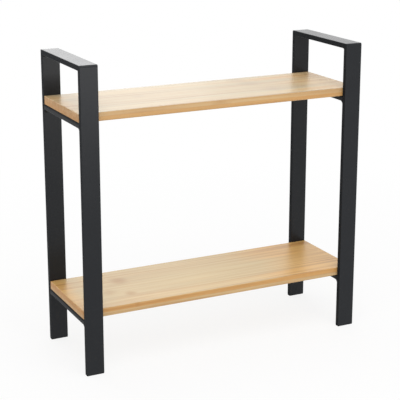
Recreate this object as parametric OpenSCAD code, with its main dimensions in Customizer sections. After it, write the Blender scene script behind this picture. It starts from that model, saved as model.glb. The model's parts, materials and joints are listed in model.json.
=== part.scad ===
// Two-tier desk hutch: two welded flat bar side frames that carry two bamboo boards.
// The origin is on the desk, in the middle of the footprint. The front faces -Y and +Z is up.

/* [Overall] */
// Width over the outer edges of the two side frames
frame_w = 432; // [300:1:700]
// Depth over the front and rear legs
frame_d = 152; // [130:1:300]
// Height from the desk to the top of the handles
frame_h = 432; // [380:1:600]

/* [Flat bar] */
// Width of the flat bar that the frames are welded from
bar_w = 25.4; // [20:0.1:40]
// Thickness of the flat bar
bar_t = 7.5; // [5:0.1:8]
// Radius of the bar's long edges
bar_edge_r = 0.5; // [0.4:0.1:1.5]
// Radius that a rail's upper edges are rounded to, where the board's end overhangs them
rail_edge_r = 2.4; // [1.5:0.1:2.4]
// Radius that the outer corners of a handle are ground to
corner_r = 3; // [1:0.5:5]

/* [Boards] */
// Thickness of a board
board_t = 12; // [11:0.5:18]
// Height of the lower board's top above the desk
lower_top = 92; // [60:1:140]
// Height of a handle's top above the upper board's top
handle_rise = 65; // [40:1:100]
// How far a board's end stands proud of the frame
board_proud = 0; // [0:0.5:4]
// Clearance between a board's long edge and the legs
board_gap = 0.3; // [0.2:0.1:0.8]
// Radius of a board's eased edges
board_edge_r = 1.5; // [0.5:0.1:3]
// Radius of a board's upright corners
board_corner_r = 3; // [1:0.1:5]

/* [Welds] */
// Size of the dressed weld fillets inside the handle corners
handle_weld = 2.5; // [1:0.5:6]
// Size of the weld fillets under the rail ends
rail_weld = 5; // [2:0.5:8]

/* [Fasteners] */
// Spacing of the two screws along a rail
screw_pitch = 80; // [40:1:90]
// Thread diameter of a screw
screw_d = 5; // [4:0.5:6]
// Length of a screw under its head
screw_l = 14; // [12:1:16]
// Diameter of a screw's button head
head_d = 9.5; // [8:0.5:12]
// Height of a screw's button head
head_h = 2.75; // [2:0.05:4]
// Height of the straight rim of a button head
head_rim = 0.5; // [0.2:0.1:1]
// Width across the flats of the hex socket
socket_af = 3; // [2:0.5:4]
// Depth of the hex socket
socket_depth = 1.6; // [1:0.1:1.8]
// Chamfer at a screw's tip
tip_chamfer = 0.8; // [0.3:0.1:1.2]
// Radial clearance of a screw in its rail hole
hole_gap = 0.25; // [0.1:0.05:0.6]
// Outer diameter of a threaded insert, over its barbs
insert_d = 8; // [7.5:0.1:10]
// Length of a threaded insert
insert_l = 9; // [8:0.5:10]
// Depth of an insert's barbs
barb_depth = 0.5; // [0.2:0.1:0.8]
// Number of barbs on an insert
barb_count = 4; // [2:1:6]
// Radial clearance between a screw and its insert
thread_gap = 0.15; // [0.1:0.05:0.3]
// Radial clearance between an insert and its bore in the board
insert_gap = 0.1; // [0.05:0.05:0.3]
// Room left in the board past a screw's tip
tip_gap = 1; // [0.5:0.1:2]

/* [Feet] */
// Thickness of a foot pad
pad_t = 1.5; // [1:0.1:4]
// How far a foot pad's outline lies inside the leg's
pad_inset = 0.2; // [0:0.1:0.8]

/* [Hidden] */
$fn = 64;
LEFT = -1;
RIGHT = 1;
FRONT = -1;
REAR = 1;
STEEL = "#37383b";
BAMBOO = "#d9bd8c";
ZINC = "#8f9194";
RUBBER = "#161617";
// Middle of a side frame's bars, measured from the middle of the hutch
frame_x = (frame_w - bar_w) / 2;
// Middle of a leg's thickness, measured from the middle of the hutch
leg_y = (frame_d - bar_t) / 2;
// Length of a rail, and the free depth between the legs
rail_l = frame_d - 2 * bar_t;
// Length of a weld, along the flat of a leg
weld_l = bar_w - 2 * bar_edge_r;
// How far a weld's hollow circle stands off the tangent, as a share of its size
weld_fullness = 0.3;
// Height of the upper board's top
upper_top = frame_h - handle_rise;
// Heights of the rails' tops, where the boards are seated
lower_seat = lower_top - board_t;
upper_seat = upper_top - board_t;
// Overlap that carries a cut clear of a face
cut = 1;

// A rectangle with rounded corners, about its middle
module rounded_rect(size, r) {
    square([size[0] - 2 * r, size[1]], center = true);
    square([size[0], size[1] - 2 * r], center = true);
    for (sx = [-1, 1], sy = [-1, 1])
        translate([sx * (size[0] / 2 - r), sy * (size[1] / 2 - r)])
            circle(r);
}

// What rounding takes off an upper left corner at the origin
module rounded_off(r) {
    translate([0, -r])
        difference() {
            square(r);
            translate([r, 0])
                circle(r);
        }
}

// The flat bar's cross-section
module bar_section() {
    rounded_rect([bar_w, bar_t], bar_edge_r);
}

// A rail's cross-section: the bar, with its upper edges rounded further
module rail_section() {
    difference() {
        bar_section();
        for (side = [LEFT, RIGHT])
            mirror([side == LEFT ? 0 : 1, 0])
                translate([-bar_w / 2, bar_t / 2])
                    rounded_off(rail_edge_r);
    }
}

// Turns a side view, drawn with depth to the right and height up, into a solid of the given width
module from_side(width) {
    rotate([90, 0, 90])
        linear_extrude(width, center = true)
            children();
}

// What grinding takes off the outer corner of a frame, at its front in side view
module ground_off() {
    translate([-frame_d / 2, frame_h])
        rounded_off(corner_r);
}

// A leg: a bar mitred at its top to meet the handle
module leg(side, face) {
    color(STEEL)
    translate([side * frame_x, 0, 0])
    mirror([0, face == FRONT ? 0 : 1, 0])
    intersection() {
        translate([0, -leg_y, pad_t])
            linear_extrude(frame_h)
                bar_section();
        from_side(bar_w)
            difference() {
                polygon([
                    [-frame_d / 2, pad_t],
                    [-frame_d / 2 + bar_t, pad_t],
                    [-frame_d / 2 + bar_t, frame_h - bar_t],
                    [-frame_d / 2, frame_h]
                ]);
                ground_off();
            }
    }
}

// A handle: the cross bar of a frame, mitred at both ends
module handle(side) {
    color(STEEL)
    translate([side * frame_x, 0, 0])
    intersection() {
        translate([0, frame_d / 2, frame_h - bar_t / 2])
            rotate([90, 0, 0])
                linear_extrude(frame_d)
                    bar_section();
        from_side(bar_w)
            difference() {
                polygon([
                    [-frame_d / 2, frame_h],
                    [frame_d / 2, frame_h],
                    [frame_d / 2 - bar_t, frame_h - bar_t],
                    [-frame_d / 2 + bar_t, frame_h - bar_t]
                ]);
                ground_off();
                mirror([1, 0])
                    ground_off();
            }
    }
}

// Places a child at each of the two screws of a rail, at the given height
module at_screws(side, z) {
    for (y = [-screw_pitch / 2, screw_pitch / 2])
        translate([side * frame_x, y, z])
            children();
}

// A rail: a bar between the legs, under a board's end, with a hole for each screw
module rail(side, seat) {
    color(STEEL)
    difference() {
        translate([side * frame_x, rail_l / 2, seat - bar_t / 2])
            rotate([90, 0, 0])
                linear_extrude(rail_l)
                    rail_section();
        at_screws(side, seat - bar_t - cut)
            cylinder(d = screw_d + 2 * hole_gap, h = bar_t + 2 * cut);
    }
}

// The two weld fillets in the corners between the legs and the underside of a cross bar
module welds(side, underside, size) {
    centre = size * (1 + weld_fullness);
    color(STEEL)
    for (face = [FRONT, REAR])
        translate([side * frame_x, face * rail_l / 2, underside])
            mirror([0, face == FRONT ? 0 : 1, 0])
                from_side(weld_l)
                    mirror([0, 1])
                        difference() {
                            square(centre);
                            translate([centre, centre])
                                circle(norm([centre, centre - size]));
                        }
}

// A board with eased edges all round, bored from below for the inserts and the screws' tips
module board(top) {
    length = frame_w + 2 * board_proud;
    depth = rail_l - 2 * board_gap;
    seat = top - board_t;
    tip_reach = screw_l - bar_t + tip_gap;
    color(BAMBOO)
    difference() {
        translate([0, 0, top - board_t / 2])
            intersection() {
                rotate([90, 0, 90])
                    linear_extrude(length, center = true)
                        rounded_rect([depth, board_t], board_edge_r);
                rotate([90, 0, 0])
                    linear_extrude(depth, center = true)
                        rounded_rect([length, board_t], board_edge_r);
                linear_extrude(board_t, center = true)
                    rounded_rect([length, depth], board_corner_r);
            }
        for (side = [LEFT, RIGHT])
            at_screws(side, seat - cut) {
                cylinder(d = insert_d + 2 * insert_gap, h = cut + insert_l);
                cylinder(d = screw_d + 2 * thread_gap, h = cut + tip_reach);
            }
    }
}

// A button head screw, pointing up, with the seat of its head at the origin
module screw() {
    dome = head_h - head_rim;
    dome_r = (pow(head_d / 2, 2) + pow(dome, 2)) / (2 * dome);
    difference() {
        union() {
            translate([0, 0, -head_h])
                intersection() {
                    cylinder(d = head_d, h = head_h);
                    translate([0, 0, dome_r])
                        sphere(dome_r);
                }
            translate([0, 0, -head_rim])
                cylinder(d = screw_d, h = head_rim + screw_l - tip_chamfer);
            translate([0, 0, screw_l - tip_chamfer])
                cylinder(d1 = screw_d, d2 = screw_d - 2 * tip_chamfer, h = tip_chamfer);
        }
        translate([0, 0, -head_h - cut])
            cylinder(d = socket_af / cos(30), h = cut + socket_depth, $fn = 6);
    }
}

// A barbed insert, standing on the rail inside the board
module insert() {
    barb = insert_l / barb_count;
    rotate_extrude()
        polygon([
            [screw_d / 2 + thread_gap, 0],
            for (i = [0:barb_count - 1])
                each [
                    [insert_d / 2, i * barb],
                    [insert_d / 2 - barb_depth, (i + 1) * barb]
                ],
            [screw_d / 2 + thread_gap, insert_l]
        ]);
}

// The two screws that hold one end of a board
module screws(side, seat) {
    color(ZINC)
    at_screws(side, seat - bar_t)
        screw();
}

// The two inserts in one end of a board
module inserts(side, seat) {
    color(ZINC)
    at_screws(side, seat)
        insert();
}

// The pad under a leg
module foot_pad(side, face) {
    color(RUBBER)
    translate([side * frame_x, face * leg_y, 0])
        linear_extrude(pad_t)
            rounded_rect([bar_w - 2 * pad_inset, bar_t - 2 * pad_inset], bar_edge_r);
}

leg(LEFT, FRONT);  // left_front_leg
leg(LEFT, REAR);  // left_rear_leg
handle(LEFT);  // left_handle
rail(LEFT, upper_seat);  // left_upper_rail
rail(LEFT, lower_seat);  // left_lower_rail
welds(LEFT, frame_h - bar_t, handle_weld);  // left_handle_welds
welds(LEFT, upper_seat - bar_t, rail_weld);  // left_upper_rail_welds
welds(LEFT, lower_seat - bar_t, rail_weld);  // left_lower_rail_welds
leg(RIGHT, FRONT);  // right_front_leg
leg(RIGHT, REAR);  // right_rear_leg
handle(RIGHT);  // right_handle
rail(RIGHT, upper_seat);  // right_upper_rail
rail(RIGHT, lower_seat);  // right_lower_rail
welds(RIGHT, frame_h - bar_t, handle_weld);  // right_handle_welds
welds(RIGHT, upper_seat - bar_t, rail_weld);  // right_upper_rail_welds
welds(RIGHT, lower_seat - bar_t, rail_weld);  // right_lower_rail_welds
board(upper_top);  // upper_board
board(lower_top);  // lower_board
screws(LEFT, upper_seat);  // upper_left_screws
screws(RIGHT, upper_seat);  // upper_right_screws
screws(LEFT, lower_seat);  // lower_left_screws
screws(RIGHT, lower_seat);  // lower_right_screws
inserts(LEFT, upper_seat);  // upper_left_inserts
inserts(RIGHT, upper_seat);  // upper_right_inserts
inserts(LEFT, lower_seat);  // lower_left_inserts
inserts(RIGHT, lower_seat);  // lower_right_inserts
foot_pad(LEFT, FRONT);  // left_front_foot_pad
foot_pad(LEFT, REAR);  // left_rear_foot_pad
foot_pad(RIGHT, FRONT);  // right_front_foot_pad
foot_pad(RIGHT, REAR);  // right_rear_foot_pad
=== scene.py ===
"""Desk hutch: the finishes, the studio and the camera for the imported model."""
import json
import math
from collections import namedtuple

import bpy
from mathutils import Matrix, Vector


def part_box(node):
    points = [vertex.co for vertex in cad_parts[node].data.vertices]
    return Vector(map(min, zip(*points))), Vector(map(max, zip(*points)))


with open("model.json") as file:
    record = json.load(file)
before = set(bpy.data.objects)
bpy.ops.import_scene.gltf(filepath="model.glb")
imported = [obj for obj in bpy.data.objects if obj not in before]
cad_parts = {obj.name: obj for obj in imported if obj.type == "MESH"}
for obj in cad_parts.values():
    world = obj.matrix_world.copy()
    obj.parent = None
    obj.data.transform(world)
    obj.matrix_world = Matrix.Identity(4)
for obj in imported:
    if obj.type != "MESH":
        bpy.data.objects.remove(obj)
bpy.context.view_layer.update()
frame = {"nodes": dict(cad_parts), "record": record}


class Value:
    """One socket of a finish; arithmetic on it adds Math nodes."""

    def __init__(self, finish, socket):
        self.finish = finish
        self.socket = socket

    def out(self, name):
        """Another output of the same node."""
        return Value(self.finish, self.socket.node.outputs[name])

    def math(self, operation, *terms):
        """A Math node on the terms."""
        return self.finish.node("ShaderNodeMath", {"operation": operation}, dict(enumerate(terms)))

    def root(self):
        return self.math("SQRT", self)

    def at_most(self, limit):
        return self.math("MINIMUM", self, limit)

    def __add__(self, other):
        return self.math("ADD", self, other)

    def __sub__(self, other):
        return self.math("SUBTRACT", self, other)

    def __rsub__(self, other):
        return self.math("SUBTRACT", other, self)

    def __mul__(self, other):
        return self.math("MULTIPLY", self, other)

    def __truediv__(self, other):
        return self.math("DIVIDE", self, other)

    def __floordiv__(self, other):
        return self.math("FLOOR", self / other)

    def __mod__(self, other):
        return self.math("FLOORED_MODULO", self, other)

    def __gt__(self, other):
        return self.math("GREATER_THAN", self, other)

    def __abs__(self):
        return self.math("ABSOLUTE", self)

    __radd__ = __add__
    __rmul__ = __mul__


class Finish:
    """The nodes of a material or of the world."""

    def __init__(self, owner):
        owner.use_nodes = True
        self.owner = owner
        self.tree = owner.node_tree
        self.tree.nodes.clear()

    def node(self, kind, settings=None, sockets=None, out=0):
        """Adds a node: its settings first, then its sockets' values or links."""
        made = self.tree.nodes.new(kind)
        for name, setting in (settings or {}).items():
            setattr(made, name, setting)
        for name, value in (sockets or {}).items():
            if isinstance(value, Value):
                self.tree.links.new(value.socket, made.inputs[name])
            else:
                made.inputs[name].default_value = value
        return Value(self, made.outputs[out] if len(made.outputs) else None)

    def coordinate(self, kind):
        return self.node("ShaderNodeTexCoord", out=kind)

    def parts(self, vector):
        """The x, y and z of a vector."""
        split = self.node("ShaderNodeSeparateXYZ", sockets={0: vector})
        return split, split.out("Y"), split.out("Z")

    def place(self):
        """Where a point on the piece is, in metres."""
        return self.parts(self.coordinate("Object"))

    def facing(self):
        """Which way the surface faces."""
        return self.parts(self.coordinate("Normal"))

    def speckle(self, per_metre, detail=2.0):
        """Noise that is alike in all directions, with so many waves to a metre."""
        return self.node("ShaderNodeTexNoise", sockets={
            "Vector": self.coordinate("Object"), "Scale": per_metre, "Detail": detail})

    def grain(self, x, y, z, per_length, per_width, detail=2.0, roughness=0.5):
        """Noise drawn out along x, with so many waves to a metre of length and of width."""
        point = self.node("ShaderNodeCombineXYZ", sockets={
            0: x * per_length, 1: y * per_width, 2: z * per_width})
        return self.node("ShaderNodeTexNoise", sockets={
            "Vector": point, "Scale": 1.0, "Detail": detail, "Roughness": roughness})

    def chance(self, seed):
        """A random number from 0 to 1 for each whole seed."""
        return self.node("ShaderNodeTexWhiteNoise", {"noise_dimensions": "1D"}, {"W": seed})

    def step(self, value, low, high):
        """0 below low, 1 above high and smooth between."""
        return self.node("ShaderNodeMapRange", {"interpolation_type": "SMOOTHSTEP"}, {
            "Value": value, "From Min": low, "From Max": high})

    def blend(self, share, first, second):
        """The first colour, with a share of the second."""
        return self.node("ShaderNodeMix", {"data_type": "RGBA"}, {
            0: share, 6: first, 7: second}, out=2)

    def shade(self, colour, amount):
        """The colour, lighter or darker."""
        return self.node("ShaderNodeVectorMath", {"operation": "SCALE"}, {
            0: colour, "Scale": amount})

    def bump(self, height, depth):
        """Relief of so many metres."""
        return self.node("ShaderNodeBump", sockets={
            "Strength": 1.0, "Distance": depth, "Height": height})

    def mix(self, share, first, second):
        """The first shader, with a share of the second."""
        return self.node("ShaderNodeMixShader", sockets={0: share, 1: first, 2: second})

    def surface(self, shader):
        self.node("ShaderNodeOutputMaterial", sockets={"Surface": shader})
        return self.owner


def new_finish(name):
    return Finish(bpy.data.materials.new(name))


def tone(red, green, blue):
    return (red, green, blue, 1.0)


noise_mean = 0.5
white = tone(1.0, 1.0, 1.0)

# The boards, as the model has them
lower_low, lower_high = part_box("lower_board")
upper_low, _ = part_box("upper_board")
board_thickness = lower_high.z - lower_low.z
board_rise = upper_low.z - lower_low.z
between_boards = (lower_high.z + upper_low.z) / 2

# The strips of a ply; the seams of the top ply lie half a strip beside those of the bottom ply
strips_across = 7
strip_width = (lower_high.y - lower_low.y) / strips_across
first_lane = 4.2
ply_shift = 0.5
ply_seeds = 20
board_seeds = 40

# Knuckles of the bamboo, and greyish darker patches on the upper board's top: where their middles
# are, and half their length and width, in metres
lower_board, upper_board = 0, 1
bottom_ply, top_ply = 0, 1
Knuckle = namedtuple("Knuckle", "board ply x y half_length half_width strength")
knuckles = (
    Knuckle(lower_board, top_ply, -0.126, 0.0247, 0.013, 0.0170, 0.9),
    Knuckle(lower_board, top_ply, -0.130, -0.0300, 0.010, 0.0120, 0.9),
    Knuckle(lower_board, top_ply, -0.156, -0.0138, 0.012, 0.0130, 0.6),
    Knuckle(lower_board, top_ply, -0.136, -0.0690, 0.006, 0.0040, 0.9),
    Knuckle(lower_board, top_ply, 0.105, 0.0690, 0.008, 0.0060, 0.8),
    Knuckle(lower_board, bottom_ply, 0.062, -0.0310, 0.010, 0.0100, 0.8),
    Knuckle(lower_board, bottom_ply, -0.084, 0.0400, 0.010, 0.0090, 0.9),
    Knuckle(upper_board, top_ply, -0.098, 0.0060, 0.011, 0.0100, 0.4),
    Knuckle(upper_board, top_ply, 0.048, 0.0690, 0.008, 0.0060, 0.8),
    # On the upper board's top these three large ovals make a row of greyish darker patches
    Knuckle(upper_board, top_ply, 0.080, 0.0510, 0.017, 0.0150, 0.5),
    Knuckle(upper_board, top_ply, 0.086, 0.0220, 0.020, 0.0190, 0.5),
    Knuckle(upper_board, top_ply, 0.097, -0.0290, 0.020, 0.0190, 0.45),
    Knuckle(upper_board, top_ply, -0.008, -0.0690, 0.014, 0.0060, 0.45),
    Knuckle(upper_board, bottom_ply, 0.118, 0.0120, 0.010, 0.0100, 0.9),
    Knuckle(upper_board, bottom_ply, -0.147, -0.0380, 0.011, 0.0090, 0.8),
)


def bamboo_finish():
    """Lacquered bamboo: two plies of strips with fibres, knuckles, seams and end grain."""
    pale_edge = tone(0.575, 0.395, 0.195)
    golden_edge = tone(0.54, 0.285, 0.087)
    lower_face = tone(0.605, 0.47, 0.24)
    # The upper board's top tones are paler and greyer than the lower's: painted reflection
    upper_face_and_painted_sheen = tone(0.58, 0.49, 0.325)
    lower_face_end = tone(0.72, 0.45, 0.16)
    upper_face_end_and_painted_sheen = tone(0.71, 0.525, 0.29)
    cut_end = tone(0.65, 0.41, 0.28)
    amber_streak = tone(0.43, 0.2, 0.06)
    brown_knuckle = tone(0.42, 0.21, 0.065)
    # A greyish darker tone for the ovals on the upper board's top
    greyish_upper_top_tone = tone(0.4, 0.285, 0.2)
    brown_pore = tone(0.29, 0.125, 0.035)

    b = new_finish("lacquered_bamboo")
    x, y, z = b.place()
    face_x, _, face_z = b.facing()
    is_end = b.step(abs(face_x), 0.6, 0.8)
    is_broad = b.step(abs(face_z), 0.6, 0.95)

    # The board, ply and strip that a point is in; each strip has its own tone and slides its grain
    board = z > between_boards
    height = z - lower_low.z - board * board_rise
    ply = height > board_thickness / 2
    lane = (y - lower_low.y) / strip_width + ply * ply_shift + first_lane
    strip_tone = b.chance(lane // 1 + board * board_seeds + ply * ply_seeds)
    along = x + strip_tone * 3.7

    fibre = b.grain(along, y, z, per_length=14, per_width=1100, detail=3.0, roughness=0.6)
    thread = b.grain(along, y, z, per_length=7, per_width=420)
    streak = b.grain(along, y, z, per_length=4, per_width=190)
    cloud = b.grain(along, y, z, per_length=9, per_width=40, detail=1.0)
    pores = b.grain(x, y, z, per_length=40, per_width=1500, detail=1.0)

    # Long edges: the lower board's top ply and the upper board's bottom ply are more golden
    golden_share = 0.4 + (ply - 0.55) * (0.9 - board * 1.4) + strip_tone * 0.25
    colour = b.blend(golden_share, pale_edge, golden_edge)

    # Broad faces: the strips turn golden at their ends, over more of their length at the right.
    # The upper board's top is paler and greyer than the lower's: a painted reflection of the
    # bright background in its lacquer.
    turned_left = b.step(strip_tone * 0.012 - x, 0.192, 0.216)
    turned_right = b.step(strip_tone * 0.08 + x - board * 0.03, 0.1, 0.19)
    turned = turned_left + turned_right
    face = b.blend(turned, b.blend(board, lower_face, upper_face_and_painted_sheen),
                   b.blend(board, lower_face_end, upper_face_end_and_painted_sheen))
    colour = b.blend(is_broad * (0.95 - strip_tone * 0.2), colour, face)
    colour = b.blend(is_end * 0.35, colour, cut_end)

    streaks = b.step(streak, 0.45, 0.7) * 0.4 + b.step(thread, 0.45, 0.7) * 0.3
    colour = b.blend(streaks * (1 + is_broad * turned * 0.5), colour, amber_streak)

    # Knuckles: soft ovals with frayed edges, each kept to its own board and ply. On the upper
    # board's top every oval takes a greyish darker tone instead of the brown one.
    fray = ((streak - noise_mean) * 1.2 + (thread - noise_mean) * 1.2
            + (cloud - noise_mean) * 0.8)
    far_away = 9

    def knuckle_share(k):
        across = (x - k.x) / k.half_length
        deep = (y - k.y) / k.half_width
        from_middle = (across * across + deep * deep).root()
        elsewhere = (abs(board - k.board) + abs(ply - k.ply)) * far_away
        return (1 - b.step(from_middle + fray + elsewhere, 0.1, 1.2)) * k.strength

    knuckle = sum(knuckle_share(k) for k in knuckles)
    on_upper_top = board * ply * is_broad
    knuckle_tone = b.blend(on_upper_top, brown_knuckle, greyish_upper_top_tone)
    colour = b.blend(knuckle * (0.45 + thread * 0.5), colour, knuckle_tone)

    # Seams between strips, as a share of a strip, and the glue line between plies, in metres
    seam_width = 0.016
    glue_width = 0.00035
    to_seam = 0.5 - abs(lane % 1 - 0.5)
    seam_line = 1 - b.step(to_seam, 0.0, seam_width)
    glue_line = 1 - b.step(abs(height - board_thickness / 2), 0.0, glue_width)
    colour = b.blend(seam_line * 0.22 + glue_line * 0.3, colour, amber_streak)

    pore = b.step(pores, 0.58, 0.7) * is_end
    colour = b.blend(pore * 0.4, colour, brown_pore)

    lightness = 0.85 + strip_tone * 0.1 + fibre * 0.2 + (cloud - noise_mean) * 0.12
    colour = b.shade(colour, lightness)

    relief = b.bump(fibre * 0.6 + streak * 0.4 - seam_line * 0.3, depth=0.00002)
    lacquered = b.node("ShaderNodeBsdfPrincipled", sockets={
        "Base Color": colour,
        "Roughness": 0.33 + fibre * 0.1,
        "Specular IOR Level": 0.4,
        "Normal": relief,
    })
    dry_end = b.node("ShaderNodeBsdfPrincipled", sockets={
        "Base Color": colour,
        "Roughness": 0.6 + pores * 0.2,
        "Specular IOR Level": 0.15,
        "Normal": relief,
    })
    return b.surface(b.mix(is_end, lacquered, dry_end))


def coat_finish(name, tilt, low, high):
    """Satin black powder coat: a fine orange peel, and the bar's edges duller than its flats.

    The duller band is centred on the side faces, and tilt carries it over towards the top.
    """
    black = tone(0.0102, 0.0116, 0.014)
    grey = tone(0.017, 0.0188, 0.0215)

    c = new_finish(name)
    face_x, _, face_z = c.facing()
    peel = c.speckle(per_metre=900)
    powder = c.speckle(per_metre=3500, detail=1.0)
    flow = c.speckle(per_metre=25)

    grey_share = c.step(powder, 0.45, 0.75) * 0.5 + (flow - noise_mean) * 0.4
    colour = c.blend(grey_share, black, grey)
    flat = c.node("ShaderNodeBsdfPrincipled", sockets={
        "Base Color": colour,
        "Roughness": 0.22 + flow * 0.06 + powder * 0.04,
        "Specular IOR Level": 0.23,
        "Normal": c.bump(peel * 0.8 + powder * 0.2, depth=0.000012),
    })
    edge = c.node("ShaderNodeBsdfPrincipled", sockets={
        "Base Color": colour,
        "Roughness": 0.6 + flow * 0.1,
        "Specular IOR Level": 0.06,
        "Normal": c.bump(peel, depth=0.000005),
    })
    is_edge = c.step(abs(face_x) + face_z * tilt, low, high)
    return c.surface(c.mix(is_edge, flat, edge))


def zinc_finish():
    """Bright zinc plate with a faint yellow and blue haze."""
    bluish = tone(0.56, 0.58, 0.62)
    yellowish = tone(0.66, 0.64, 0.57)

    s = new_finish("zinc_plate")
    haze = s.speckle(per_metre=160)
    grain = s.speckle(per_metre=2600)
    return s.surface(s.node("ShaderNodeBsdfPrincipled", sockets={
        "Base Color": s.blend(s.step(haze, 0.4, 0.65), bluish, yellowish),
        "Metallic": 1.0,
        "Roughness": 0.26 + grain * 0.16,
        "Normal": s.bump(grain, depth=0.000006),
    }))


def rubber_finish():
    """Matt black rubber with a moulded grain."""
    black = tone(0.008, 0.008, 0.008)
    dusty = tone(0.018, 0.018, 0.0185)

    r = new_finish("foot_rubber")
    grain = r.speckle(per_metre=1800)
    return r.surface(r.node("ShaderNodeBsdfPrincipled", sockets={
        "Base Color": r.blend(grain, black, dusty),
        "Roughness": 0.75 + grain * 0.15,
        "Specular IOR Level": 0.3,
        "Normal": r.bump(grain, depth=0.00004),
    }))


slot_finish = {
    "frame_coat": coat_finish("black_powder_coat", tilt=0.0, low=0.93, high=0.99),
    "bamboo": bamboo_finish(),
    "zinc": zinc_finish(),
    "foot_rubber": rubber_finish(),
}
rail_coat = coat_finish("black_rail_coat", tilt=0.5, low=0.84, high=1.08)
for part in frame["record"]["subparts"]:
    name = part["node"]
    finish = rail_coat if name.endswith("_rail") else slot_finish[part["material_slot"]]
    node = frame["nodes"][name]
    node.data.materials.clear()
    node.data.materials.append(finish)


def seen_directly(f):
    """1 for what the camera sees, also in gloss and through glass."""
    path = f.node("ShaderNodeLightPath")
    seen = path.out("Is Camera Ray") + path.out("Is Glossy Ray") + path.out("Is Transmission Ray")
    return seen.at_most(1.0)


def white_world(fill):
    """White where it is seen; a plain fill light on the object."""
    world = bpy.data.worlds.new("white_studio")
    bpy.context.scene.world = world
    w = Finish(world)
    seen = seen_directly(w)
    light = w.node("ShaderNodeBackground", sockets={
        "Color": white, "Strength": fill + seen * (1 - fill)})
    w.node("ShaderNodeOutputWorld", sockets={"Surface": light})


def studio_floor(size, shadow_share, fade_from, fade_to):
    """A pale floor that keeps the shadow near the object and fades to white further out."""
    bpy.ops.object.select_all(action="DESELECT")
    bpy.ops.mesh.primitive_plane_add(size=size)
    floor = bpy.context.object
    floor.name = "studio_floor"
    f = new_finish("pale_floor")
    x, y, _ = f.place()
    far = f.step(x * x + y * y, fade_from ** 2, fade_to ** 2)
    paper = f.node("ShaderNodeBsdfDiffuse", sockets={"Color": tone(0.86, 0.86, 0.86)})
    glow = f.node("ShaderNodeEmission", sockets={"Color": white, "Strength": 1.0})
    share = seen_directly(f) * (1 - (1 - far) * shadow_share)
    floor.data.materials.append(f.surface(f.mix(share, paper, glow)))


def softbox(name, place, aim, width, height, brightness):
    """An area lamp whose face has the given brightness, turned to aim."""
    lamp = bpy.data.lights.new(name, "AREA")
    lamp.shape = "RECTANGLE"
    lamp.size, lamp.size_y = width, height
    lamp.energy = math.pi * width * height * brightness
    holder = bpy.data.objects.new(name, lamp)
    holder.location = place
    holder.rotation_euler = (Vector(aim) - Vector(place)).to_track_quat("-Z", "Y").to_euler()
    holder.visible_camera = False
    bpy.context.scene.collection.objects.link(holder)


white_world(fill=0.72)
studio_floor(size=24.0, shadow_share=0.16, fade_from=0.447, fade_to=1.095)
softbox("rear_softbox", place=(-0.1, 1.9, 0.95), aim=(-0.1, 0.0, 0.4),
        width=2.2, height=1.3, brightness=0.85)
softbox("rear_wall", place=(0.6, 2.1, 0.95), aim=(0.1, 0.0, 0.4),
        width=3.6, height=1.5, brightness=0.5)
softbox("front_softbox", place=(0.2, -1.6, 0.25), aim=(0.2, 0.0, 0.25),
        width=1.2, height=0.46, brightness=2.7)
softbox("top_softbox", place=(-0.2, -0.9, 1.95), aim=(0.0, 0.0, 0.25),
        width=1.8, height=1.2, brightness=2.5)

camera_place = (-0.761, -1.527, 0.705)
camera_turn = 26.32
camera_tilt = 14.83
camera_data = bpy.data.cameras.new("photo_camera")
camera_data.sensor_width = 36.0
camera_data.lens = 109.4
camera_data.shift_y = -0.08
camera = bpy.data.objects.new("photo_camera", camera_data)
camera.location = camera_place
camera.rotation_euler = (math.radians(90 - camera_tilt), 0.0, math.radians(-camera_turn))
bpy.context.scene.collection.objects.link(camera)
bpy.context.scene.camera = camera
bpy.context.scene.view_settings.view_transform = "Standard"
